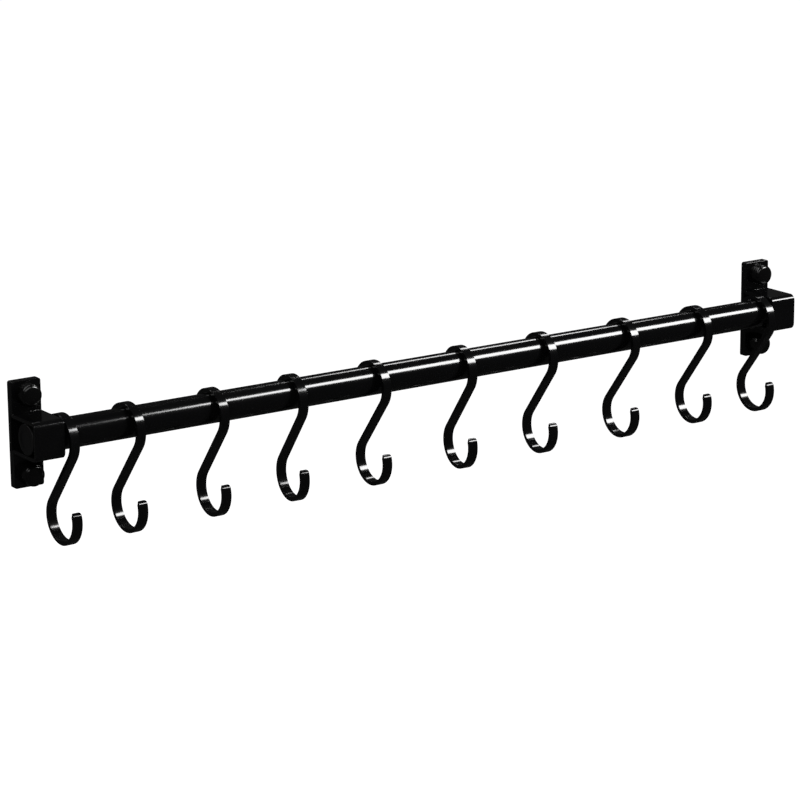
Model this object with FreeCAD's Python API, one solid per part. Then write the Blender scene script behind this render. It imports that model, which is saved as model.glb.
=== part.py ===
"""Kitchen utensil rail: a round tube between two strap brackets, with ten S-hooks hung on it.

Millimetres. +X runs along the rail and +Z is up. The wall is the plane Y = 0, and the room lies at -Y.
The origin is the middle of the four wall screws, on the wall.
"""
import FreeCAD, Part
import math
import os

# Tube
overall_length = 490.0
tube_diameter = 16.0
tube_wall = 1.2
tube_standoff = 18.0            # from the wall to the tube's axis
tube_rise = 1.0                 # of the tube's axis above the middle of the wall plates
tube_clearance = 0.1            # between the tube and the strap around it

# Wall plates and the straps folded round the tube's ends
plate_width = 16.5
plate_height = 55.0
plate_thickness = 2.5
corner_radius = 1.2
strap_sheet = 2.0
bend_inner_radius = 1.5

# Wall screws and their caps
screw_end_distance = 7.0        # from a plate's end to the screw's axis
screw_diameter = 4.0            # over the thread
screw_neck_diameter = 3.0       # in the plate and the strap
screw_length = 13.0             # under the head
screw_point_length = 4.0
screw_head_diameter = 8.0
screw_head_height = 3.0
screw_hole_clearance = 0.25
cap_diameter = 12.0
cap_side_height = 5.3
cap_crown_height = 2.2
cap_grip_clearance = 0.1        # between a cap's bore and the screw head in it

# End plugs
plug_flange_thickness = 1.5
plug_spigot_length = 5.0
plug_spigot_clearance = 0.05
plug_edge_chamfer = 0.5

# S-hooks
strip_width = 5.0
strip_thickness = 2.2
loop_inner_radius = 11.4
loop_spacing = 40.6             # between the centres of the upper and the lower loop
loop_arc_degrees = 238.0
hook_tip_length = 0.9
hook_seat_gap = 0.3             # between the tube's top and the loop that hangs on it
hook_end_gap = 0.8              # between a strap and the hook next to it
# Where each hook hangs, from the one beside the left strap (0) to the one beside the right strap (1)
hook_places = (0.0, 0.083, 0.193, 0.3, 0.413, 0.538, 0.657, 0.782, 0.898, 1.0)
# How far each hook hangs turned about the vertical, in degrees
hook_turns = (2.5, 3.0, 0.0, -3.0, 1.0, -3.0, -1.0, 1.0, 0.0, 1.0)

# Worked out from the sizes above
tube_radius = tube_diameter / 2
bracket_x = (overall_length - plate_width) / 2
strap_half_height = tube_radius + tube_clearance + strap_sheet
strap_front_y = -(tube_standoff + strap_half_height)
flange_face_y = -(plate_thickness + strap_sheet)
screw_z = plate_height / 2 - screw_end_distance
screw_spots = [(side * bracket_x, level * screw_z) for side in (-1, 1) for level in (1, -1)]
tube_half_length = overall_length / 2 - plug_flange_thickness

X_AXIS = FreeCAD.Vector(1, 0, 0)
Y_AXIS = FreeCAD.Vector(0, 1, 0)
Z_AXIS = FreeCAD.Vector(0, 0, 1)
ORIGIN = FreeCAD.Vector(0, 0, 0)


def side_point(y, z):
    """A point of an outline that is seen along the rail."""
    return FreeCAD.Vector(0, y, z)


def extruded_along_x(edges, width):
    """The closed outline given by its edges, made a solid that is centred on X = 0."""
    face = Part.Face(Part.Wire(edges))
    face.translate(X_AXIS * (-width / 2))
    return face.extrude(X_AXIS * width)


def rounded_outline(corners):
    """Edges of a closed outline through corners (y, z, radius), each rounded by its own radius."""
    points = [side_point(y, z) for y, z, _ in corners]
    count = len(corners)
    stops = []
    for i, (_, _, radius) in enumerate(corners):
        back = (points[i - 1] - points[i]).normalize()
        ahead = (points[(i + 1) % count] - points[i]).normalize()
        if radius == 0:
            stops.append((points[i], None, points[i]))
            continue
        half_angle = back.getAngle(ahead) / 2
        run = radius / math.tan(half_angle)
        bisector = (back + ahead).normalize()
        nearest = bisector * (radius / math.sin(half_angle) - radius)
        stops.append((points[i] + back * run, points[i] + nearest, points[i] + ahead * run))
    edges = []
    for i, (start, middle, end) in enumerate(stops):
        if middle is not None:
            edges.append(Part.Arc(start, middle, end).toShape())
        edges.append(Part.LineSegment(end, stops[(i + 1) % count][0]).toShape())
    return edges


def round_plate_corners(solid):
    """Rounds the four corners of a wall plate or a strap, seen from the room."""
    corners = []
    for edge in solid.Edges:
        middle = edge.CenterOfMass
        at_end = math.isclose(abs(middle.z), plate_height / 2, abs_tol=1e-6)
        at_side = math.isclose(abs(middle.x), plate_width / 2, abs_tol=1e-6)
        if at_end and at_side:
            corners.append(edge)
    return solid.makeFillet(corner_radius, corners)


def drilled_for_wall_screws(solid):
    """Takes the two wall-screw holes of one bracket out of a plate or a strap at X = 0."""
    radius = screw_diameter / 2 + screw_hole_clearance
    depth = plate_thickness + strap_sheet
    for level in (1, -1):
        start = FreeCAD.Vector(0, -depth, level * screw_z)
        solid = solid.cut(Part.makeCylinder(radius, depth, start, Y_AXIS))
    return solid


def wall_plate():
    """The flat plate that lies on the wall."""
    size = (plate_width, plate_thickness, plate_height)
    plate = Part.makeBox(*size, FreeCAD.Vector(-plate_width / 2, -plate_thickness, -plate_height / 2))
    return drilled_for_wall_screws(round_plate_corners(plate))


def tube_strap():
    """The strip folded to a hat: two flanges on the plate, and a loop round the tube in between."""
    outer_bend = bend_inner_radius + strap_sheet
    end = plate_height / 2
    top = tube_rise + strap_half_height
    bottom = tube_rise - strap_half_height
    inner_front = strap_front_y + strap_sheet
    room_side = [
        (flange_face_y, end, 0),
        (flange_face_y, top, bend_inner_radius),
        (strap_front_y, top, outer_bend),
        (strap_front_y, bottom, outer_bend),
        (flange_face_y, bottom, bend_inner_radius),
        (flange_face_y, -end, 0),
    ]
    wall_side = [
        (-plate_thickness, -end, 0),
        (-plate_thickness, bottom + strap_sheet, outer_bend),
        (inner_front, bottom + strap_sheet, bend_inner_radius),
        (inner_front, top - strap_sheet, bend_inner_radius),
        (-plate_thickness, top - strap_sheet, outer_bend),
        (-plate_thickness, end, 0),
    ]
    strap = extruded_along_x(rounded_outline(room_side + wall_side), plate_width)
    return drilled_for_wall_screws(round_plate_corners(strap))


def rail_tube():
    """The tube, open at both ends."""
    start = FreeCAD.Vector(-tube_half_length, -tube_standoff, tube_rise)
    tube = Part.makeCylinder(tube_radius, 2 * tube_half_length, start, X_AXIS)
    return tube.cut(Part.makeCylinder(tube_radius - tube_wall, 2 * tube_half_length, start, X_AXIS))


def turned(edges):
    """A turned piece about the Z axis, from the edges of its half section in the XZ plane."""
    return Part.Face(Part.Wire(edges)).revolve(ORIGIN, Z_AXIS, 360)


def section_line(points):
    """Straight edges through points (radius, height) of a half section."""
    vectors = [FreeCAD.Vector(r, 0, h) for r, h in points]
    return [Part.LineSegment(a, b).toShape() for a, b in zip(vectors, vectors[1:])]


def crown(radius, low, high):
    """The arc of a domed top, from its rim at height low to the axis at height high."""
    rise = high - low
    sphere = (radius ** 2 + rise ** 2) / (2 * rise)
    half = math.asin(radius / sphere) / 2
    middle = FreeCAD.Vector(sphere * math.sin(half), 0, high - sphere + sphere * math.cos(half))
    return Part.Arc(FreeCAD.Vector(radius, 0, low), middle, FreeCAD.Vector(0, 0, high)).toShape()


def wall_screw():
    """A wall screw: the head rests on Z = 0 and rises, and below it come the neck, the thread and the point."""
    neck_end = -(plate_thickness + strap_sheet)
    return turned(section_line([
        (0, screw_head_height),
        (0, -screw_length),
        (screw_diameter / 2, -screw_length + screw_point_length),
        (screw_diameter / 2, neck_end),
        (screw_neck_diameter / 2, neck_end),
        (screw_neck_diameter / 2, 0),
        (screw_head_diameter / 2, 0),
        (screw_head_diameter / 2, screw_head_height),
        (0, screw_head_height),
    ]))


def screw_cap():
    """A domed cap that stands on Z = 0 and takes the screw head in its bore."""
    bore_radius = screw_head_diameter / 2 + cap_grip_clearance
    bore_depth = screw_head_height + cap_grip_clearance
    cap_height = cap_side_height + cap_crown_height
    section = section_line([
        (0, cap_height),
        (0, bore_depth),
        (bore_radius, bore_depth),
        (bore_radius, 0),
        (cap_diameter / 2, 0),
        (cap_diameter / 2, cap_side_height),
    ])
    return turned(section + [crown(cap_diameter / 2, cap_side_height, cap_height)])


def on_flanges(piece):
    """Copies of a turned piece at the four wall-screw places, standing on the flanges to the room."""
    towards_room = FreeCAD.Rotation(Z_AXIS, -Y_AXIS)
    copies = []
    for x, z in screw_spots:
        copy = piece.copy()
        copy.Placement = FreeCAD.Placement(FreeCAD.Vector(x, flange_face_y, z), towards_room)
        copies.append(copy)
    return Part.makeCompound(copies)


def end_plug(side):
    """The plug that closes one end of the tube; side is -1 on the left and 1 on the right."""
    spigot_radius = tube_radius - tube_wall - plug_spigot_clearance
    plug = turned(section_line([
        (0, plug_flange_thickness),
        (0, -plug_spigot_length),
        (spigot_radius, -plug_spigot_length),
        (spigot_radius, 0),
        (tube_radius, 0),
        (tube_radius, plug_flange_thickness - plug_edge_chamfer),
        (tube_radius - plug_edge_chamfer, plug_flange_thickness),
        (0, plug_flange_thickness),
    ]))
    place = FreeCAD.Vector(side * tube_half_length, -tube_standoff, tube_rise)
    plug.Placement = FreeCAD.Placement(place, FreeCAD.Rotation(Z_AXIS, X_AXIS * side))
    return plug


def on_loop(centre, radius, angle):
    """A point on a hook's loop, seen along the rail; angle 0 points to the wall and 90 degrees up."""
    return side_point(centre[0] + radius * math.cos(angle), centre[1] + radius * math.sin(angle))


def hook_side(upper_radius, lower_radius, upper_centre, lower_centre, slant):
    """Edges along one side of a hook's strip, from its upper to its lower tip."""
    sweep = math.radians(loop_arc_degrees)
    edges = []
    loops = ((upper_centre, upper_radius, math.pi + slant), (lower_centre, lower_radius, slant))
    ends = []
    for centre, radius, shank_angle in loops:
        tip_angle = shank_angle - sweep
        shank_end = on_loop(centre, radius, shank_angle)
        middle = on_loop(centre, radius, shank_angle - sweep / 2)
        loop_end = on_loop(centre, radius, tip_angle)
        along_tip = side_point(math.sin(tip_angle), -math.cos(tip_angle))
        tip = loop_end + along_tip * hook_tip_length
        edges.append([Part.LineSegment(tip, loop_end).toShape(),
                      Part.Arc(loop_end, middle, shank_end).toShape()])
        ends.append((tip, shank_end))
    shank = Part.LineSegment(ends[0][1], ends[1][1]).toShape()
    return edges[0] + [shank] + edges[1], ends[0][0], ends[1][0]


def s_hook():
    """One S-hook at X = 0: a flat strip whose upper loop hangs on the tube, with its front at -Y."""
    inner = loop_inner_radius
    outer = loop_inner_radius + strip_thickness
    upper_centre = (-tube_standoff, tube_rise + tube_radius + hook_seat_gap - loop_inner_radius)
    lower_centre = (-tube_standoff, upper_centre[1] - loop_spacing)
    slant = math.asin((inner + outer) / loop_spacing)
    room_side, upper_a, lower_a = hook_side(outer, inner, upper_centre, lower_centre, slant)
    wall_side, upper_b, lower_b = hook_side(inner, outer, upper_centre, lower_centre, slant)
    tips = [Part.LineSegment(upper_a, upper_b).toShape(), Part.LineSegment(lower_a, lower_b).toShape()]
    return extruded_along_x(Part.sortEdges(room_side + wall_side + tips)[0], strip_width)


def hook_positions():
    """X of every hook: the first and the last lie beside the straps, the others in between."""
    reach = overall_length / 2 - plate_width - hook_end_gap - strip_width / 2
    return [reach * (2 * place - 1) for place in hook_places]


def moved_along_x(solid, x):
    """A copy of a solid, moved along the rail."""
    copy = solid.copy()
    copy.translate(X_AXIS * x)
    return copy


def nodes():
    """Every piece of the rail by its name."""
    pieces = {"rail_tube": rail_tube()}
    for name, side in (("left", -1), ("right", 1)):
        pieces[name + "_wall_plate"] = moved_along_x(wall_plate(), side * bracket_x)
        pieces[name + "_tube_strap"] = moved_along_x(tube_strap(), side * bracket_x)
        pieces[name + "_end_plug"] = end_plug(side)
    pieces["wall_screws"] = on_flanges(wall_screw())
    pieces["screw_caps"] = on_flanges(screw_cap())
    hook = s_hook()
    for number, (x, turn) in enumerate(zip(hook_positions(), hook_turns), start=1):
        turned_hook = hook.rotated(FreeCAD.Vector(0, -tube_standoff, 0), Z_AXIS, turn)
        pieces["hook_%02d" % number] = moved_along_x(turned_hook, x)
    return pieces


os.makedirs("parts", exist_ok=True)
for node, shape in nodes().items():
    shape.exportStep("parts/" + node + ".step")
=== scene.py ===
"""Kitchen utensil rail in gloss black: a tube between two strap brackets, with ten S-hooks hung on it.

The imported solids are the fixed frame. Every piece takes its place and its main sizes from them and is
modelled with rounded edges and its small details. All but the lock screws stand for their solids.
"""
import math

import bmesh
import bpy
from mathutils import Matrix, Vector


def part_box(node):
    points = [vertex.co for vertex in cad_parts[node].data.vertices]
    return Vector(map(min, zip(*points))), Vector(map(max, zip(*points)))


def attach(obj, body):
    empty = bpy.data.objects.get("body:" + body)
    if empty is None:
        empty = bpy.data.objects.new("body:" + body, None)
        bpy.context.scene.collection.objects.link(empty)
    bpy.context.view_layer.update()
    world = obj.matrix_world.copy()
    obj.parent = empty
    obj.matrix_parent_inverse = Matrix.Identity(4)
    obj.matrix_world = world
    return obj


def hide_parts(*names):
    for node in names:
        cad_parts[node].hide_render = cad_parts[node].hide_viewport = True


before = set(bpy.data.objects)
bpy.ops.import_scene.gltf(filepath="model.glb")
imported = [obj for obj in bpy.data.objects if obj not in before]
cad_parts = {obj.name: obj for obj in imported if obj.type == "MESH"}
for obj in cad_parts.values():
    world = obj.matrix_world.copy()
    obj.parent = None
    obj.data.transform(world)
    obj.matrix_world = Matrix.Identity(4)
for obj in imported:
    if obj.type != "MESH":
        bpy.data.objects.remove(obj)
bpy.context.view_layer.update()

bl_info = {
    "name": "Utensil Rail",
    "version": (1, 0, 0),
    "blender": (4, 5, 0),
    "location": "View3D > Sidebar > Rail",
    "description": "Builds a wall rail with S-hooks around its packed solids",
    "category": "Add Mesh",
}

MM = 0.001
ALONG_RAIL = Vector((1, 0, 0))
UP = Vector((0, 0, 1))
SIDES = ("left", "right")

# An edge that turns by more than this is rounded, and the shading isn't smoothed across it.
SHARP = math.radians(38)
THREAD_SHARP = math.radians(30)
# Points closer than DOUBLED are merged. Points closer than NEAR count as in one plane.
DOUBLED = 1e-6
NEAR = 0.01 * MM
# A face or an edge lies along an axis when this much of its unit vector does.
ALIGNED = 0.9
# How far a cutter reaches past the face that it goes in by.
CUT_PAST = 1 * MM
# Steps in which the straps' bends, the hooks' curls and loops, and the rounded corners are made.
BEND_STEPS, CURL_STEPS, LOOP_STEPS, CORNER_STEPS = 8, 12, 72, 6
# The thread's section in shares of its pitch: where its crest starts and ends, and where its back ends.
CREST_START, CREST_END, BACK_END = 0.28, 0.36, 0.64
# The share of a pitch left free above the thread, and the share of its radius kept at the screw's tip.
THREAD_FREE, THREAD_TIP = 0.7, 0.04

HOOKS = sorted(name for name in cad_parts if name.startswith("hook_"))
# How far each hook hangs turned about the vertical, in degrees.
HOOK_TURNS = (2.5, 3.0, 0.0, -3.0, 1.0, -3.0, -1.0, 1.0, 0.0, 1.0)

TUBE_LOW, TUBE_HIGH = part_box("rail_tube")
TUBE_RADIUS = (TUBE_HIGH.z - TUBE_LOW.z) / 2
PLATE_LOW, PLATE_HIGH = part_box("left_wall_plate")
STRAP_LOW, STRAP_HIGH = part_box("left_tube_strap")
CAPS_LOW, CAPS_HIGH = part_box("screw_caps")
SCREWS_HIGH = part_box("wall_screws")[1]
HOOK_LOW, HOOK_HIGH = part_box(HOOKS[0])


def length_property(name, description, default):
    """A length in metres that the sidebar shows in the scene's units."""
    return bpy.props.FloatProperty(name=name, description=description, default=default, min=0.0,
                                   precision=5, subtype="DISTANCE", unit="LENGTH")


def angle_property(name, description, default):
    """An angle in radians that the sidebar shows in degrees."""
    return bpy.props.FloatProperty(name=name, description=description, default=default,
                                   subtype="ANGLE", unit="ROTATION")


def share_property(name, description, default):
    """A number from 0 to 1."""
    return bpy.props.FloatProperty(name=name, description=description, default=default, min=0.0, max=1.0)


def colour_property(name, description, default):
    """A colour in linear values."""
    return bpy.props.FloatVectorProperty(name=name, description=description, default=default, size=3,
                                         min=0.0, max=1.0, subtype="COLOR")


class RailSizes(bpy.types.PropertyGroup):
    """Sizes of the rail's pieces that the solids' boxes don't give, and of their edges."""

    tube_wall: length_property("Tube Wall", "Thickness of the tube's wall", 1.2 * MM)
    tube_edge: length_property("Tube Edge", "Rounding of the tube's cut ends", 0.2 * MM)
    sheet: length_property("Strap Sheet", "Thickness of the strap's sheet", 2.0 * MM)
    strap_clearance: length_property("Strap Clearance", "Gap between the tube and its strap", 0.1 * MM)
    bend_radius: length_property("Bend Radius", "Inner radius of the strap's bends at the front", 1.5 * MM)
    fold_radius: length_property("Fold Radius", "Inner radius of the strap's folds at the plate", 0.15 * MM)
    corner_radius: length_property("Corner Radius", "Rounding of the plates' corners", 1.2 * MM)
    plate_edge: length_property("Plate Edge", "Rounding along plates, straps and caps' feet", 0.3 * MM)
    screw_hole: length_property("Screw Hole", "Radius of the holes for the wall screws", 2.25 * MM)
    cap_radius: length_property("Cap Radius", "Radius of a screw cap", 6.0 * MM)
    cap_crown: length_property("Cap Crown", "Radius to which a cap's top is curved", 24.0 * MM)
    cap_draft: length_property("Cap Draft", "How far a cap's side leans in up to its top", 0.35 * MM)
    cap_bore: length_property("Cap Bore", "Radius of the bore over the screw head", 4.1 * MM)
    cap_bore_depth: length_property("Cap Bore Depth", "Depth of the bore over the screw head", 3.1 * MM)
    cap_edge: length_property("Cap Edge", "Rounding between a cap's side and its top", 2.0 * MM)
    head_radius: length_property("Screw Head", "Radius of a wall screw's head", 4.0 * MM)
    head_height: length_property("Head Height", "Height of a wall screw's head", 3.0 * MM)
    head_chamfer: length_property("Head Chamfer", "Slope round the top of a wall screw's head", 0.8 * MM)
    head_socket: length_property("Head Socket", "Radius of a wall screw's socket to its corners", 2.2 * MM)
    socket_depth: length_property("Socket Depth", "Depth of a wall screw's socket", 1.4 * MM)
    screw_edge: length_property("Screw Edge", "Rounding of a wall screw's edges", 0.12 * MM)
    neck_radius: length_property("Screw Neck", "Radius of a wall screw without its thread", 1.5 * MM)
    thread_radius: length_property("Thread Radius", "Radius over a wall screw's thread", 2.0 * MM)
    thread_pitch: length_property("Thread Pitch", "Rise of the thread in one turn", 1.75 * MM)
    thread_foot: length_property("Thread Foot", "How deep the thread sits in the neck", 0.1 * MM)
    point_length: length_property("Screw Point", "Length of a wall screw's point", 4.0 * MM)
    lock_radius: length_property("Lock Screw", "Radius of the head of a tube's lock screw", 2.75 * MM)
    lock_height: length_property("Lock Screw Height", "Height of a lock screw's head", 1.6 * MM)
    lock_face: length_property("Lock Face", "Radius of the flat of a lock screw's head", 1.925 * MM)
    lock_side: length_property("Lock Side", "Height of the upright side of a lock screw's head", 0.88 * MM)
    lock_shank: length_property("Lock Shank", "Radius of a lock screw's shank", 1.375 * MM)
    lock_socket: length_property("Lock Socket", "Radius of a lock screw's socket to its corners", 1.15 * MM)
    lock_floor: length_property("Lock Floor", "Metal of the head past a lock screw's socket", 0.4 * MM)
    lock_edge: length_property("Lock Edge", "Rounding of a lock screw's edges", 0.1 * MM)
    plug_flange: length_property("Plug Flange", "Thickness of an end plug's flange", 1.5 * MM)
    plug_clearance: length_property("Plug Clearance", "Gap between a plug's stem and the tube", 0.05 * MM)
    plug_rim: length_property("Plug Rim", "Width of the flat rim of an end plug", 2.4 * MM)
    plug_slope: length_property("Plug Slope", "Width of the slope into an end plug's dish", 0.5 * MM)
    plug_dish: length_property("Plug Dish", "Depth of the dish in an end plug", 0.35 * MM)
    plug_edge: length_property("Plug Edge", "Rounding of an end plug's edges", 0.25 * MM)
    strip: length_property("Hook Strip", "Thickness of a hook's strip", 2.2 * MM)
    strip_width: length_property("Strip Width", "Width of a hook's strip", 5.0 * MM)
    loop_radius: length_property("Loop Radius", "Inner radius of a hook's loops", 11.4 * MM)
    curl_radius: length_property("Curl Radius", "Inner radius of the rolled tip of a hook", 0.3 * MM)
    tip_corner: length_property("Tip Corner", "Rounding of the corners of a hook's tip", 1.1 * MM)
    strip_edge: length_property("Strip Edge", "Rounding along a hook's strip", 0.15 * MM)
    loop_arc: angle_property("Loop Arc", "How far a hook's loop goes round", math.radians(232.5))
    curl_arc: angle_property("Curl Arc", "How far a hook's tip is rolled inwards", math.radians(80))


class RailFinish(bpy.types.PropertyGroup):
    """Colours of the rail's finishes, and the least roughness of each."""

    lacquer: colour_property("Lacquer", "Gloss black of tube, brackets and hooks", (0.001, 0.001, 0.0011))
    cap: colour_property("Cap Plastic", "Gloss black of the screw caps", (0.001, 0.001, 0.001))
    plug: colour_property("Plug Plastic", "Satin black of the end plugs", (0.0016, 0.0016, 0.0017))
    zinc: colour_property("Zinc", "Plating of the wall screws", (0.62, 0.61, 0.57))
    black_plating: colour_property("Black Plating", "Plating of the lock screws", (0.012, 0.012, 0.013))
    lacquer_roughness: share_property("Lacquer Roughness", "Of tube, brackets and hooks", 0.09)
    cap_roughness: share_property("Cap Roughness", "Of the screw caps", 0.14)
    plug_roughness: share_property("Plug Roughness", "Of the end plugs", 0.34)
    zinc_roughness: share_property("Zinc Roughness", "Of the wall screws", 0.26)
    plating_roughness: share_property("Plating Roughness", "Of the lock screws", 0.3)


class RailStage(bpy.types.PropertyGroup):
    """The camera and the room around the rail."""

    focal_length: bpy.props.FloatProperty(name="Focal Length", description="Of the camera, in millimetres",
                                          default=144.2)
    sensor_width: bpy.props.FloatProperty(name="Sensor Width", description="Of the camera, in millimetres",
                                          default=36.0)
    position: bpy.props.FloatVectorProperty(name="Camera", description="Where the camera stands",
                                            subtype="XYZ", unit="LENGTH",
                                            default=(-0.94963, -1.38018, 0.41023))
    yaw: angle_property("Yaw", "How far the camera looks to the right", 0.59782)
    pitch: angle_property("Pitch", "How far the camera looks down", 0.25116)
    roll: angle_property("Roll", "How far the camera leans", 0.0089)
    floor_size: length_property("Floor Size", "Length of the floor's sides", 30.0)
    floor_depth: length_property("Floor", "How far the floor lies under the rail", 0.75)
    floor_colour: colour_property("Floor Colour", "Of the pale floor", (0.8, 0.8, 0.8))
    dim_radius: length_property("Dim Radius", "Distance up to which the floor glows least", 0.4)
    full_radius: length_property("Full Radius", "Distance from which the floor glows fully", 2.2)
    least_glow: share_property("Least Glow", "Glow of the floor under the rail", 0.7)
    room_glow: share_property("Room Glow", "Brightness of the unlit room in reflections", 0.03)


def sizes():
    """The sizes in use."""
    return bpy.context.scene.rail_sizes


def tube_axis():
    """(y, z) of the tube's axis."""
    middle = (TUBE_LOW + TUBE_HIGH) / 2
    return middle.y, middle.z


def deselect_all():
    """Leaves nothing selected."""
    bpy.ops.object.select_all(action="DESELECT")


def settle(name):
    """Names the object that was just added and puts its place, turn and scale into its mesh."""
    obj = bpy.context.active_object
    obj.name = name
    obj.data.name = name
    bpy.ops.object.transform_apply(location=True, rotation=True, scale=True)
    return obj


def start_block(name, low, high):
    """A cube primitive stretched between two corners."""
    deselect_all()
    bpy.ops.mesh.primitive_cube_add(size=1, location=(low + high) / 2)
    bpy.context.active_object.scale = high - low
    return settle(name)


def start_rod(name, radius, start, end, corners):
    """A cylinder primitive between two points."""
    deselect_all()
    turn = UP.rotation_difference(end - start).to_euler()
    bpy.ops.mesh.primitive_cylinder_add(vertices=corners, radius=radius, depth=(end - start).length,
                                        location=(start + end) / 2, rotation=turn)
    return settle(name)


def edit(obj):
    """Goes into edit mode on one object, with all of it selected."""
    deselect_all()
    obj.select_set(True)
    bpy.context.view_layer.objects.active = obj
    bpy.ops.object.mode_set(mode="EDIT")
    bpy.ops.mesh.select_all(action="SELECT")


def leave_edit():
    """Goes back to object mode."""
    bpy.ops.object.mode_set(mode="OBJECT")


def pick(kind, test):
    """Selects the vertices, edges or faces that pass the test, in edit mode, and nothing else."""
    bpy.ops.mesh.select_mode(type=kind)
    bpy.ops.mesh.select_all(action="DESELECT")
    work = bmesh.from_edit_mesh(bpy.context.object.data)
    parts = {"VERT": work.verts, "EDGE": work.edges, "FACE": work.faces}[kind]
    for part in parts:
        if test(part):
            part.select_set(True)
    work.select_flush_mode()
    bmesh.update_edit_mesh(bpy.context.object.data)


def edge_middle(edge):
    """The middle of an edge."""
    return (edge.verts[0].co + edge.verts[1].co) / 2


def edge_heading(edge):
    """The direction of an edge."""
    return (edge.verts[1].co - edge.verts[0].co).normalized()


def close_up(obj):
    """Merges doubled points and turns the faces outwards."""
    edit(obj)
    bpy.ops.mesh.remove_doubles(threshold=DOUBLED)
    bpy.ops.mesh.normals_make_consistent(inside=False)
    leave_edit()


def apply_modifier(obj, kind, **settings):
    """Adds a modifier to an object, sets it up and applies it."""
    deselect_all()
    obj.select_set(True)
    bpy.context.view_layer.objects.active = obj
    modifier = obj.modifiers.new(kind.title(), kind)
    for name, value in settings.items():
        setattr(modifier, name, value)
    bpy.ops.object.modifier_apply(modifier=modifier.name)


def drill(obj, radius, start, end, corners=40):
    """Takes a round or many-cornered hole out of an object."""
    cutter = start_rod("cutter", radius, start, end, corners)
    apply_modifier(obj, "BOOLEAN", operation="DIFFERENCE", solver="EXACT", object=cutter)
    bpy.data.objects.remove(cutter)


def round_edges(obj, width, segments=3):
    """Rounds the sharp edges of a form."""
    apply_modifier(obj, "BEVEL", width=width, segments=segments, limit_method="ANGLE",
                   angle_limit=SHARP, use_clamp_overlap=True)


def smooth(obj):
    """Smooths the shading of a form, with its flat faces kept flat."""
    deselect_all()
    obj.select_set(True)
    bpy.context.view_layer.objects.active = obj
    bpy.ops.object.shade_smooth_by_angle(angle=SHARP)
    apply_modifier(obj, "WEIGHTED_NORMAL", mode="FACE_AREA", weight=50, keep_sharp=True)


def soften(obj, width, segments=3):
    """Rounds the sharp edges of a finished form and smooths its shading."""
    round_edges(obj, width, segments)
    smooth(obj)


def copied(obj, name, offset, turn=0.0):
    """A copy of a piece with its own mesh, turned about the vertical and moved by an offset."""
    deselect_all()
    obj.select_set(True)
    bpy.context.view_layer.objects.active = obj
    bpy.ops.object.duplicate(linked=False)
    bpy.context.active_object.rotation_euler.z = turn
    bpy.ops.transform.translate(value=offset)
    return settle(name)


def joined(objects, name):
    """Several objects made one piece."""
    deselect_all()
    for obj in objects:
        obj.select_set(True)
    bpy.context.view_layer.objects.active = objects[0]
    bpy.ops.object.join()
    return settle(name)


def dress(obj, material, slot, body, *nodes):
    """Gives a piece its material and sets it in place of its solids on a body. The slot is not used."""
    obj.data.materials.clear()
    obj.data.materials.append(material)
    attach(obj, body)
    if nodes:
        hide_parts(*nodes)


def polar(radius, angle):
    """A point at a radius and an angle about the origin."""
    return Vector((radius * math.cos(angle), radius * math.sin(angle)))


class BentStrip:
    """A flat strip that is fed and bent in the plane across the rail, as on a bending bench."""

    def __init__(self, name, x, width, thickness, start, heading):
        self.x = x
        self.place = Vector(start)
        self.heading = heading
        deselect_all()
        turn = (heading - math.pi / 2, 0, 0)
        bpy.ops.mesh.primitive_plane_add(size=1, location=(x, *start), rotation=turn)
        bpy.context.active_object.scale = (width, thickness, 1)
        self.obj = settle(name)
        edit(self.obj)
        bpy.ops.mesh.select_mode(type="FACE")

    def forward(self):
        """The direction in which the strip is fed."""
        return polar(1, self.heading)

    def run(self, length):
        """Feeds a straight length."""
        step = self.forward() * length
        bpy.ops.mesh.extrude_region_move(TRANSFORM_OT_translate={"value": (0, *step)})
        self.place = self.place + step

    def bend(self, radius, angle, steps):
        """Bends the strip by an angle about a centre at this radius from the strip's middle."""
        ahead = self.forward()
        side = math.copysign(1, angle)
        centre = self.place + Vector((-ahead.y, ahead.x)) * radius * side
        # Without a window, spin turns the other way round.
        bpy.ops.mesh.spin(steps=steps, angle=-angle, center=(self.x, *centre), axis=ALONG_RAIL)
        self.place = centre + Matrix.Rotation(angle, 2) @ (self.place - centre)
        self.heading += angle

    def finished(self):
        """Ends the bending and gives the closed strip."""
        leave_edit()
        close_up(self.obj)
        return self.obj


class BendLine:
    """The middle line of a bar bent in the plane across the rail: straight runs and bends, end to end."""

    def __init__(self, start, heading):
        self.length = 0.0
        self.end = Vector(start), heading
        self.stretches = []
        self.cuts = []

    def add(self, length, turn, steps):
        """Adds a stretch that turns evenly over its length and is cut across in steps."""
        self.stretches.append((self.length, *self.end, turn / length))
        self.cuts += [self.length + length * step / steps for step in range(steps)]
        self.length += length
        self.end = self.at(self.length)

    def run(self, length):
        """Adds a straight length."""
        self.add(length, 0.0, 1)

    def bend(self, radius, angle, steps):
        """Adds a bend by an angle at this radius."""
        self.add(radius * abs(angle), angle, steps)

    def at(self, length):
        """(place, heading) at a length from the start."""
        start, place, heading, curvature = [row for row in self.stretches if row[0] <= length][-1]
        along = length - start
        if curvature == 0:
            return place + polar(along, heading), heading
        turned = heading + curvature * along
        to_centre = polar(1 / curvature, heading + math.pi / 2)
        return place + to_centre - polar(1 / curvature, turned + math.pi / 2), turned


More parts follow.
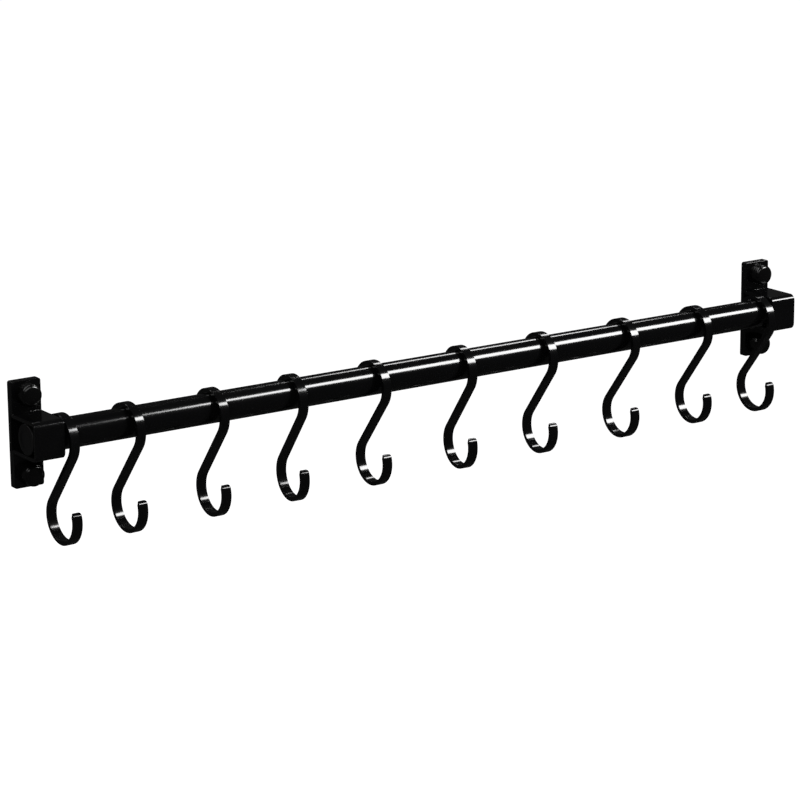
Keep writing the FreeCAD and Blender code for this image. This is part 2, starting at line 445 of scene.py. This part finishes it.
def bent_bar(name, line, width, thickness, corner, edge):
    """A flat bar, made straight with rounded ends and edges, then cut across and bent along a line."""
    half = Vector((width / 2, thickness / 2, 0))
    bar = start_block(name, -half, half + UP * line.length)
    edit(bar)
    pick("EDGE", lambda side: abs(edge_heading(side).y) > ALIGNED)
    bpy.ops.mesh.bevel(offset=corner, segments=CORNER_STEPS)
    leave_edit()
    round_edges(bar, edge)
    edit(bar)
    for cut in line.cuts[1:]:
        bpy.ops.mesh.select_all(action="SELECT")
        bpy.ops.mesh.bisect(plane_co=UP * cut, plane_no=UP, threshold=NEAR)
    leave_edit()
    for vertex in bar.data.vertices:
        place, heading = line.at(max(0.0, vertex.co.z))
        vertex.co = (vertex.co.x, *(place + polar(vertex.co.y, heading - math.pi / 2)))
    smooth(bar)
    return bar


class Turning:
    """A half section that is drawn point by point and turned about an axis."""

    def __init__(self, name, radius, height):
        self.place = Vector((radius, 0, height))
        deselect_all()
        bpy.ops.mesh.primitive_plane_add(size=1 * MM, location=self.place)
        self.obj = settle(name)
        edit(self.obj)
        bpy.ops.mesh.merge(type="CENTER")
        bpy.ops.mesh.select_mode(type="VERT")
        bpy.ops.mesh.select_all(action="SELECT")

    def line(self, radius, height):
        """Draws a straight line to a point."""
        step = Vector((radius, 0, height)) - self.place
        bpy.ops.mesh.extrude_vertices_move(TRANSFORM_OT_translate={"value": step})
        self.place = self.place + step

    def arc(self, centre_radius, centre_height, angle, steps):
        """Draws an arc about a point."""
        centre = Vector((centre_radius, 0, centre_height))
        # Without a window, spin turns the other way round.
        bpy.ops.mesh.spin(steps=steps, angle=-angle, center=centre, axis=(0, 1, 0))
        self.place = centre + Matrix.Rotation(angle, 3, "Y") @ (self.place - centre)

    def finished(self, corners):
        """Turns the section all the way round and gives the closed form."""
        bpy.ops.mesh.select_all(action="SELECT")
        bpy.ops.mesh.spin(steps=corners, angle=2 * math.pi, center=(0, 0, 0), axis=(0, 0, 1))
        leave_edit()
        close_up(self.obj)
        return self.obj


class Shade:
    """A socket in a material. Sums and products of shades add Math nodes to the material."""

    def __init__(self, tree, socket=None):
        self.tree = tree
        self.socket = socket

    def node(self, kind, settings=None, inputs=None, output=0):
        """Adds a node of this kind, sets it up, feeds its sockets, and gives one of its outputs."""
        made = self.tree.nodes.new(kind)
        for name, value in (settings or {}).items():
            setattr(made, name, value)
        for name, value in (inputs or {}).items():
            if isinstance(value, Shade):
                self.tree.links.new(value.socket, made.inputs[name])
            else:
                made.inputs[name].default_value = value
        return Shade(self.tree, made.outputs[output])

    def math(self, operation, first, second):
        """One Math node."""
        return self.node("ShaderNodeMath", {"operation": operation}, {0: first, 1: second})

    def __add__(self, other):
        return self.math("ADD", self, other)

    def __radd__(self, other):
        return self.math("ADD", other, self)

    def __mul__(self, other):
        return self.math("MULTIPLY", self, other)


def new_material(name):
    """An empty material, as (material, shade on its tree)."""
    material = bpy.data.materials.new(name)
    material.use_nodes = True
    material.node_tree.nodes.clear()
    return material, Shade(material.node_tree)


def output(tree, surface):
    """Connects a shader to the material's output."""
    end = tree.tree.nodes.new("ShaderNodeOutputMaterial")
    tree.tree.links.new(surface.socket, end.inputs["Surface"])


def noise(tree, where, waves, detail, roughness):
    """A soft random pattern from 0 to 1, with so many waves for each metre."""
    inputs = {"Vector": where, "Scale": waves, "Detail": detail, "Roughness": roughness}
    return tree.node("ShaderNodeTexNoise", None, inputs, "Fac")


def shifted(colour, gain, lift=0.0):
    """A colour times a gain, with a little added."""
    return [channel * gain + lift for channel in colour]


def tinted(tree, amount, first, second):
    """A colour between two others."""
    # A Mix node has a set of sockets for each kind of data. These are the ones for colours.
    inputs = {0: amount, 6: (*first, 1), 7: (*second, 1)}
    return tree.node("ShaderNodeMix", {"data_type": "RGBA"}, inputs, 2)


def bumped(tree, height, strength, distance):
    """A surface normal with a bump."""
    return tree.node("ShaderNodeBump", None, {"Strength": strength, "Distance": distance, "Height": height})


def lacquer(name, colour, roughness):
    """Gloss black lacquer with a faint orange peel and a thin uneven film of handling."""
    tree = new_material(name)[1]
    where = tree.node("ShaderNodeTexCoord", None, None, "Object")
    peel = noise(tree, where, waves=420, detail=1.0, roughness=0.4)
    film = noise(tree, where, waves=38, detail=4.0, roughness=0.6)
    film_roughness = 0.08
    surface = tree.node("ShaderNodeBsdfPrincipled", None, {
        "Base Color": tinted(tree, film, colour, shifted(colour, gain=1.8, lift=0.0003)),
        "Roughness": roughness + film * film_roughness,
        "Normal": bumped(tree, peel, strength=0.012, distance=0.2 * MM),
    })
    output(tree, surface)


def moulded(name, colour, roughness, texture_waves, texture_strength):
    """Moulded black plastic with a fine tool texture and paler flow marks."""
    tree = new_material(name)[1]
    where = tree.node("ShaderNodeTexCoord", None, None, "Object")
    texture = noise(tree, where, texture_waves, detail=3.0, roughness=0.55)
    flow = noise(tree, where, waves=90, detail=2.0, roughness=0.5)
    flow_roughness, texture_roughness = 0.06, 0.04
    surface = tree.node("ShaderNodeBsdfPrincipled", None, {
        "Base Color": tinted(tree, flow, colour, shifted(colour, gain=1.6, lift=0.0004)),
        "Roughness": roughness + flow * flow_roughness + texture * texture_roughness,
        "Normal": bumped(tree, texture, texture_strength, distance=0.1 * MM),
    })
    output(tree, surface)


def plated(name, colour, roughness):
    """Plated steel with a darker cloudy film and fine marks."""
    tree = new_material(name)[1]
    where = tree.node("ShaderNodeTexCoord", None, None, "Object")
    cloud = noise(tree, where, waves=260, detail=3.0, roughness=0.6)
    marks = noise(tree, where, waves=3800, detail=2.0, roughness=0.5)
    cloud_roughness, mark_roughness = 0.12, 0.06
    surface = tree.node("ShaderNodeBsdfPrincipled", None, {
        "Base Color": tinted(tree, cloud, colour, shifted(colour, gain=0.7)),
        "Metallic": 1.0,
        "Roughness": roughness + cloud * cloud_roughness + marks * mark_roughness,
        "Normal": bumped(tree, marks, strength=0.08, distance=0.05 * MM),
    })
    output(tree, surface)


class RAIL_OT_tube(bpy.types.Operator):
    """Makes the round tube that carries the hooks."""

    bl_idname = "rail.tube"
    bl_label = "Tube"

    def execute(self, context):
        y, z = tube_axis()
        start = Vector((TUBE_LOW.x, y, z))
        end = Vector((TUBE_HIGH.x, y, z))
        tube = start_rod("tube", TUBE_RADIUS, start, end, corners=128)
        edit(tube)
        pick("FACE", lambda face: abs(face.normal.x) > ALIGNED)
        bpy.ops.mesh.inset(thickness=sizes().tube_wall)
        bpy.ops.mesh.bridge_edge_loops()
        leave_edit()
        close_up(tube)
        soften(tube, sizes().tube_edge, segments=2)
        dress(tube, bpy.data.materials["Tube Lacquer"], "rail_lacquer", "rail", "rail_tube")
        return {"FINISHED"}


class RAIL_OT_end_plugs(bpy.types.Operator):
    """Makes the plugs that close the tube's ends."""

    bl_idname = "rail.end_plugs"
    bl_label = "End Plugs"

    def execute(self, context):
        s = sizes()
        y, z = tube_axis()
        for side, sign in zip(SIDES, (-1, 1)):
            node = side + "_end_plug"
            low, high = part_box(node)
            outer, inner = (low.x, high.x) if sign < 0 else (high.x, low.x)
            flange_inner = outer - sign * s.plug_flange
            plug = start_rod(side + "_plug", (high.z - low.z) / 2, Vector((flange_inner, y, z)),
                             Vector((outer, y, z)), corners=96)
            edit(plug)
            pick("FACE", lambda face: face.normal.x * sign < -ALIGNED)
            bpy.ops.mesh.inset(thickness=s.tube_wall + s.plug_clearance)
            stem = (inner - flange_inner, 0, 0)
            bpy.ops.mesh.extrude_region_move(TRANSFORM_OT_translate={"value": stem})
            pick("FACE", lambda face: face.normal.x * sign > ALIGNED)
            bpy.ops.mesh.inset(thickness=s.plug_rim, depth=0)
            bpy.ops.mesh.inset(thickness=s.plug_slope, depth=-s.plug_dish)
            leave_edit()
            close_up(plug)
            soften(plug, s.plug_edge)
            dress(plug, bpy.data.materials["Plug Plastic"], "plug_plastic", "rail", node)
        return {"FINISHED"}


def screw_spots():
    """(x, z) of the four wall screws."""
    x = CAPS_HIGH.x - sizes().cap_radius
    z = CAPS_HIGH.z - sizes().cap_radius
    return [(side * x, level * z) for side in (-1, 1) for level in (1, -1)]


def drill_for_wall_screws(obj):
    """Takes the two wall-screw holes out of a left plate or strap."""
    for x, z in screw_spots():
        if x < 0:
            behind = Vector((x, PLATE_HIGH.y + CUT_PAST, z))
            drill(obj, sizes().screw_hole, Vector((x, STRAP_LOW.y, z)), behind)


def round_corners(obj):
    """Rounds the four corners of a plate or strap, seen from the room."""
    edit(obj)

    def at_corner(edge):
        middle = edge_middle(edge)
        at_end = min(abs(middle.z - PLATE_LOW.z), abs(middle.z - PLATE_HIGH.z)) < NEAR
        at_side = min(abs(middle.x - PLATE_LOW.x), abs(middle.x - PLATE_HIGH.x)) < NEAR
        return at_end and at_side and abs(edge_heading(edge).y) > ALIGNED

    pick("EDGE", at_corner)
    bpy.ops.mesh.bevel(offset=sizes().corner_radius, segments=CORNER_STEPS)
    leave_edit()


def place_pair(left, right_name, nodes):
    """Dresses a bracket's piece on the left and its copy on the right."""
    offset = Vector((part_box(nodes[1])[0].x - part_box(nodes[0])[0].x, 0, 0))
    right = copied(left, right_name, offset)
    for obj, node in zip((left, right), nodes):
        dress(obj, bpy.data.materials["Bracket Lacquer"], "bracket_lacquer", "rail", node)


class RAIL_OT_wall_plates(bpy.types.Operator):
    """Makes the two flat plates that lie on the wall."""

    bl_idname = "rail.wall_plates"
    bl_label = "Wall Plates"

    def execute(self, context):
        plate = start_block("left_plate", PLATE_LOW, PLATE_HIGH)
        round_corners(plate)
        drill_for_wall_screws(plate)
        soften(plate, sizes().plate_edge)
        place_pair(plate, "right_plate", ("left_wall_plate", "right_wall_plate"))
        return {"FINISHED"}


class RAIL_OT_tube_straps(bpy.types.Operator):
    """Makes the two straps, each bent from a strip round the tube's end."""

    bl_idname = "rail.tube_straps"
    bl_label = "Tube Straps"

    def execute(self, context):
        sheet = sizes().sheet
        _, axis_z = tube_axis()
        loop_half = TUBE_RADIUS + sizes().strap_clearance + sheet / 2
        radius = sizes().bend_radius + sheet / 2
        fold = sizes().fold_radius + sheet / 2
        flange_y = STRAP_HIGH.y - sheet / 2
        front_y = STRAP_LOW.y + sheet / 2
        out = flange_y - front_y - fold - radius
        right_angle = math.pi / 2
        width = STRAP_HIGH.x - STRAP_LOW.x
        x = (STRAP_LOW.x + STRAP_HIGH.x) / 2
        strip = BentStrip("left_strap", x, width, sheet, (flange_y, STRAP_HIGH.z), -right_angle)
        strip.run(STRAP_HIGH.z - axis_z - loop_half - fold)
        strip.bend(fold, -right_angle, BEND_STEPS)
        strip.run(out)
        strip.bend(radius, right_angle, BEND_STEPS)
        strip.run(2 * (loop_half - radius))
        strip.bend(radius, right_angle, BEND_STEPS)
        strip.run(out)
        strip.bend(fold, -right_angle, BEND_STEPS)
        strip.run(axis_z - loop_half - fold - STRAP_LOW.z)
        strap = strip.finished()
        round_corners(strap)
        drill_for_wall_screws(strap)
        soften(strap, sizes().plate_edge)
        place_pair(strap, "right_strap", ("left_tube_strap", "right_tube_strap"))
        return {"FINISHED"}


def stood_on_flanges(obj, name):
    """Copies a turned piece to the four wall-screw places, with its foot on the flanges, as one piece."""
    obj.data.transform(Matrix.Rotation(math.pi / 2, 4, "X"))
    copies = [copied(obj, name, Vector((x, CAPS_HIGH.y, z))) for x, z in screw_spots()]
    bpy.data.objects.remove(obj)
    return joined(copies, name)


class RAIL_OT_screw_caps(bpy.types.Operator):
    """Makes the four domed caps over the screw heads."""

    bl_idname = "rail.screw_caps"
    bl_label = "Screw Caps"

    def execute(self, context):
        s = sizes()
        height = CAPS_HIGH.y - CAPS_LOW.y
        edge_at = s.cap_radius - s.cap_draft - s.cap_edge
        sweep = math.asin(edge_at / (s.cap_crown - s.cap_edge))
        edge_height = height - s.cap_crown + (s.cap_crown - s.cap_edge) * math.cos(sweep)
        section = Turning("cap", 0, height)
        section.arc(0, height - s.cap_crown, sweep, steps=8)
        section.arc(edge_at, edge_height, math.pi / 2 - sweep, steps=12)
        section.line(s.cap_radius, 0)
        section.line(s.cap_bore, 0)
        section.line(s.cap_bore, s.cap_bore_depth)
        section.line(0, s.cap_bore_depth)
        cap = section.finished(corners=64)
        soften(cap, s.plate_edge)
        caps = stood_on_flanges(cap, "caps")
        dress(caps, bpy.data.materials["Cap Plastic"], "cap_plastic", "rail", "screw_caps")
        return {"FINISHED"}


class RAIL_OT_wall_screws(bpy.types.Operator):
    """Makes the four wall screws with their threads."""

    bl_idname = "rail.wall_screws"
    bl_label = "Wall Screws"

    def execute(self, context):
        s = sizes()
        length = SCREWS_HIGH.y - CAPS_HIGH.y
        section = Turning("screw", 0, s.head_height)
        section.line(s.head_radius - s.head_chamfer, s.head_height)
        section.line(s.head_radius, s.head_height - s.head_chamfer)
        section.line(s.head_radius, 0)
        section.line(s.neck_radius, 0)
        section.line(s.neck_radius, s.point_length - length)
        section.line(0, -length)
        screw = section.finished(corners=40)
        drill(screw, s.head_socket, UP * (s.head_height - s.socket_depth), UP * (s.head_height + CUT_PAST),
              corners=6)
        soften(screw, s.screw_edge, segments=2)
        thread = self.thread(length)
        screws = stood_on_flanges(joined([screw, thread], "screw"), "screws")
        dress(screws, bpy.data.materials["Zinc"], "screw_steel", "rail", "wall_screws")
        return {"FINISHED"}

    def thread(self, length):
        """The thread on the length in the wall, which gets thinner along the screw's point."""
        s = sizes()
        foot = s.neck_radius - s.thread_foot
        ridge = Turning("thread", foot, -length)
        ridge.line(s.thread_radius, s.thread_pitch * CREST_START - length)
        ridge.line(s.thread_radius, s.thread_pitch * CREST_END - length)
        ridge.line(foot, s.thread_pitch * BACK_END - length)
        bpy.ops.mesh.select_all(action="SELECT")
        bpy.ops.mesh.edge_face_add()
        leave_edit()
        turns = int((SCREWS_HIGH.y - PLATE_HIGH.y) / s.thread_pitch - THREAD_FREE)
        apply_modifier(ridge.obj, "SCREW", axis="Z", screw_offset=s.thread_pitch, iterations=turns,
                       steps=24, use_merge_vertices=True, merge_threshold=DOUBLED)
        for vertex in ridge.obj.data.vertices:
            share = min(1.0, max(THREAD_TIP, (vertex.co.z + length) / s.point_length))
            vertex.co.x *= share
            vertex.co.y *= share
        edit(ridge.obj)
        bpy.ops.mesh.fill_holes(sides=4)
        leave_edit()
        close_up(ridge.obj)
        bpy.ops.object.shade_smooth_by_angle(angle=THREAD_SHARP)
        return ridge.obj


class RAIL_OT_lock_screws(bpy.types.Operator):
    """Makes the small screws under the straps that keep the tube in place."""

    bl_idname = "rail.lock_screws"
    bl_label = "Lock Screws"

    def execute(self, context):
        s = sizes()
        y, z = tube_axis()
        under = z - TUBE_RADIUS - s.strap_clearance - s.sheet
        section = Turning("lock_screw", 0, -s.lock_height)
        section.line(s.lock_face, -s.lock_height)
        section.line(s.lock_radius, -s.lock_side)
        section.line(s.lock_radius, 0)
        section.line(s.lock_shank, 0)
        section.line(s.lock_shank, s.sheet)
        section.line(0, s.sheet)
        screw = section.finished(corners=48)
        drill(screw, s.lock_socket, UP * -(s.lock_height + CUT_PAST), UP * -s.lock_floor, corners=6)
        soften(screw, s.lock_edge, segments=2)
        spots = sorted({x for x, _ in screw_spots()})
        pair = [copied(screw, "lock_screw", Vector((x, y, under))) for x in spots]
        bpy.data.objects.remove(screw)
        dress(joined(pair, "lock_screws"), bpy.data.materials["Black Plating"], "bracket_lacquer", "rail")
        return {"FINISHED"}


class RAIL_OT_hooks(bpy.types.Operator):
    """Bends one S-hook from a strip and hangs its copies on the tube."""

    bl_idname = "rail.hooks"
    bl_label = "S-Hooks"

    def execute(self, context):
        s = sizes()
        y, _ = tube_axis()
        radius = s.loop_radius + s.strip / 2
        curl = s.curl_radius + s.strip / 2
        outer = s.loop_radius + s.strip
        upper = Vector((0, HOOK_HIGH.z - outer))
        spacing = HOOK_HIGH.z - HOOK_LOW.z - 2 * outer
        slant = math.asin(2 * radius / spacing)
        loop_end = math.pi + slant - s.loop_arc
        tip = loop_end - s.curl_arc
        curl_centre = upper + polar(radius - curl, loop_end)
        start = curl_centre + polar(curl, tip)
        line = BendLine(start, tip + math.pi / 2)
        line.bend(curl, s.curl_arc, CURL_STEPS)
        line.bend(radius, s.loop_arc, LOOP_STEPS)
        line.run(spacing * math.cos(slant))
        line.bend(radius, -s.loop_arc, LOOP_STEPS)
        line.bend(curl, -s.curl_arc, CURL_STEPS)
        hook = bent_bar("hook", line, s.strip_width, s.strip, s.tip_corner, s.strip_edge)
        for node, turn in zip(HOOKS, HOOK_TURNS):
            low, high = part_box(node)
            piece = copied(hook, "s_" + node, Vector(((low.x + high.x) / 2, y, 0)), math.radians(turn))
            dress(piece, bpy.data.materials["Hook Lacquer"], "hook_lacquer", node, node)
        bpy.data.objects.remove(hook)
        return {"FINISHED"}


class RAIL_OT_finishes(bpy.types.Operator):
    """Mixes the materials of the rail."""

    bl_idname = "rail.finishes"
    bl_label = "Finishes"

    def execute(self, context):
        f = context.scene.rail_finish
        for name in ("Tube Lacquer", "Bracket Lacquer", "Hook Lacquer"):
            lacquer(name, f.lacquer, f.lacquer_roughness)
        moulded("Cap Plastic", f.cap, f.cap_roughness, texture_waves=1900, texture_strength=0.03)
        moulded("Plug Plastic", f.plug, f.plug_roughness, texture_waves=2600, texture_strength=0.1)
        plated("Zinc", f.zinc, f.zinc_roughness)
        plated("Black Plating", f.black_plating, f.plating_roughness)
        return {"FINISHED"}


def add_softbox(name, place, target, width, height, watts):
    """An oval lamp that faces a point, with its width along the rail."""
    deselect_all()
    bpy.ops.object.light_add(type="AREA", location=place)
    lamp = bpy.context.active_object
    lamp.name = name
    back = (Vector(place) - Vector(target)).normalized()
    across = (ALONG_RAIL - back * back.x).normalized()
    turn = Matrix((across, back.cross(across), back)).transposed().to_4x4()
    lamp.matrix_world = Matrix.Translation(place) @ turn
    lamp.data.shape = "ELLIPSE"
    lamp.data.size = width
    lamp.data.size_y = height
    lamp.data.energy = watts
    lamp.visible_camera = False
    return lamp


class RAIL_OT_stage(bpy.types.Operator):
    """Sets up the floor, the room, the lamps and the camera."""

    bl_idname = "rail.stage"
    bl_label = "Stage"

    def execute(self, context):
        self.floor(context.scene.rail_stage)
        self.room(context.scene)
        self.lamps()
        self.camera(context.scene)
        context.scene.view_settings.view_transform = "Standard"
        return {"FINISHED"}

    def floor(self, stage):
        """A pale floor that shows white to the camera and keeps the shadow under the rail."""
        deselect_all()
        bpy.ops.mesh.primitive_plane_add(size=stage.floor_size, location=UP * -stage.floor_depth)
        floor = settle("floor")
        material, tree = new_material("Pale Floor")
        camera = tree.node("ShaderNodeLightPath", None, None, "Is Camera Ray")
        glossy = Shade(tree.tree, camera.socket.node.outputs["Is Glossy Ray"])
        where = tree.node("ShaderNodeTexCoord", None, None, "Object")
        away = tree.node("ShaderNodeVectorMath", {"operation": "LENGTH"}, {0: where}, "Value")
        bright = tree.node("ShaderNodeMapRange", {"interpolation_type": "SMOOTHSTEP"}, {
            "Value": away,
            "From Min": stage.dim_radius,
            "From Max": stage.full_radius,
            "To Min": stage.least_glow,
            "To Max": 1.0,
        })
        lit = tree.node("ShaderNodeBsdfDiffuse", None, {"Color": (*stage.floor_colour, 1)})
        glow = tree.node("ShaderNodeEmission", None, {"Color": camera * bright, "Strength": 1.0})
        dim = tree.node("ShaderNodeEmission", None, {"Color": (1, 1, 1, 1), "Strength": stage.room_glow})
        seen = tree.node("ShaderNodeAddShader", None, {0: lit, 1: glow})
        output(tree, tree.node("ShaderNodeMixShader", None, {0: glossy, 1: seen, 2: dim}))
        floor.data.materials.append(material)

    def room(self, scene):
        """A white room to the camera, and a dim one in reflections."""
        world = bpy.data.worlds.new("Room")
        scene.world = world
        world.use_nodes = True
        world.node_tree.nodes.clear()
        tree = Shade(world.node_tree)
        camera = tree.node("ShaderNodeLightPath", None, None, "Is Camera Ray")
        transmission = Shade(tree.tree, camera.socket.node.outputs["Is Transmission Ray"])
        seen = tree.math("MAXIMUM", camera, transmission)
        glow = scene.rail_stage.room_glow
        strength = seen * (1 - glow) + glow
        background = tree.node("ShaderNodeBackground", None, {"Color": (1, 1, 1, 1), "Strength": strength})
        out = tree.tree.nodes.new("ShaderNodeOutputWorld")
        tree.tree.links.new(background.socket, out.inputs["Surface"])

    def lamps(self):
        """Long softboxes round the rail that draw its lines, and a soft fill that leaves no line."""
        y, z = tube_axis()
        target = (0, y, z)
        add_softbox("right_front_softbox", (0.925, -0.785, 0.924), target, width=0.78, height=0.5, watts=22)
        add_softbox("right_back_softbox", (0.845, 0.676, 0.98), target, width=0.37, height=0.2, watts=1.9)
        add_softbox("left_front_softbox", (-0.5, -0.785, 0.924), target, width=1.5, height=0.2, watts=4)
        add_softbox("left_back_softbox", (-0.5, 0.676, 0.98), target, width=1.5, height=0.2, watts=4)
        fill = add_softbox("fill_softbox", (-1.4, -1.5, 0.9), target, width=1.4, height=1.0, watts=20)
        fill.visible_glossy = False

    def camera(self, scene):
        """The camera at the photographed view."""
        stage = scene.rail_stage
        deselect_all()
        bpy.ops.object.camera_add()
        camera = bpy.context.active_object
        camera.name = "camera"
        level = math.cos(stage.pitch)
        ahead = Vector((math.sin(stage.yaw) * level, math.cos(stage.yaw) * level, -math.sin(stage.pitch)))
        right = Vector((math.cos(stage.yaw), -math.sin(stage.yaw), 0))
        down = ahead.cross(right)
        leaned = right * math.cos(stage.roll) + down * math.sin(stage.roll)
        over = right * math.sin(stage.roll) - down * math.cos(stage.roll)
        turn = Matrix((leaned, over, -ahead)).transposed().to_4x4()
        camera.matrix_world = Matrix.Translation(stage.position) @ turn
        camera.data.lens = stage.focal_length
        camera.data.sensor_width = stage.sensor_width
        scene.camera = camera


STEPS = (
    RAIL_OT_finishes,
    RAIL_OT_tube,
    RAIL_OT_end_plugs,
    RAIL_OT_wall_plates,
    RAIL_OT_tube_straps,
    RAIL_OT_screw_caps,
    RAIL_OT_wall_screws,
    RAIL_OT_lock_screws,
    RAIL_OT_hooks,
    RAIL_OT_stage,
)


class RAIL_PT_panel(bpy.types.Panel):
    """Lists the steps that build the rail."""

    bl_idname = "RAIL_PT_panel"
    bl_label = "Utensil Rail"
    bl_space_type = "VIEW_3D"
    bl_region_type = "UI"
    bl_category = "Rail"

    def draw(self, context):
        for step in STEPS:
            self.layout.operator(step.bl_idname)


GROUPS = {"rail_sizes": RailSizes, "rail_finish": RailFinish, "rail_stage": RailStage}


def register():
    """Makes the properties, the steps and the panel known to Blender."""
    for cls in (*GROUPS.values(), *STEPS, RAIL_PT_panel):
        bpy.utils.register_class(cls)
    for name, group in GROUPS.items():
        setattr(bpy.types.Scene, name, bpy.props.PointerProperty(type=group))


def unregister():
    """Takes them away again."""
    for name in GROUPS:
        delattr(bpy.types.Scene, name)
    for cls in reversed((*GROUPS.values(), *STEPS, RAIL_PT_panel)):
        bpy.utils.unregister_class(cls)


def main():
    """Builds the rail."""
    register()
    bpy.ops.rail.finishes()
    bpy.ops.rail.tube()
    bpy.ops.rail.end_plugs()
    bpy.ops.rail.wall_plates()
    bpy.ops.rail.tube_straps()
    bpy.ops.rail.screw_caps()
    bpy.ops.rail.wall_screws()
    bpy.ops.rail.lock_screws()
    bpy.ops.rail.hooks()
    bpy.ops.rail.stage()


if __name__ == "__main__":
    main()
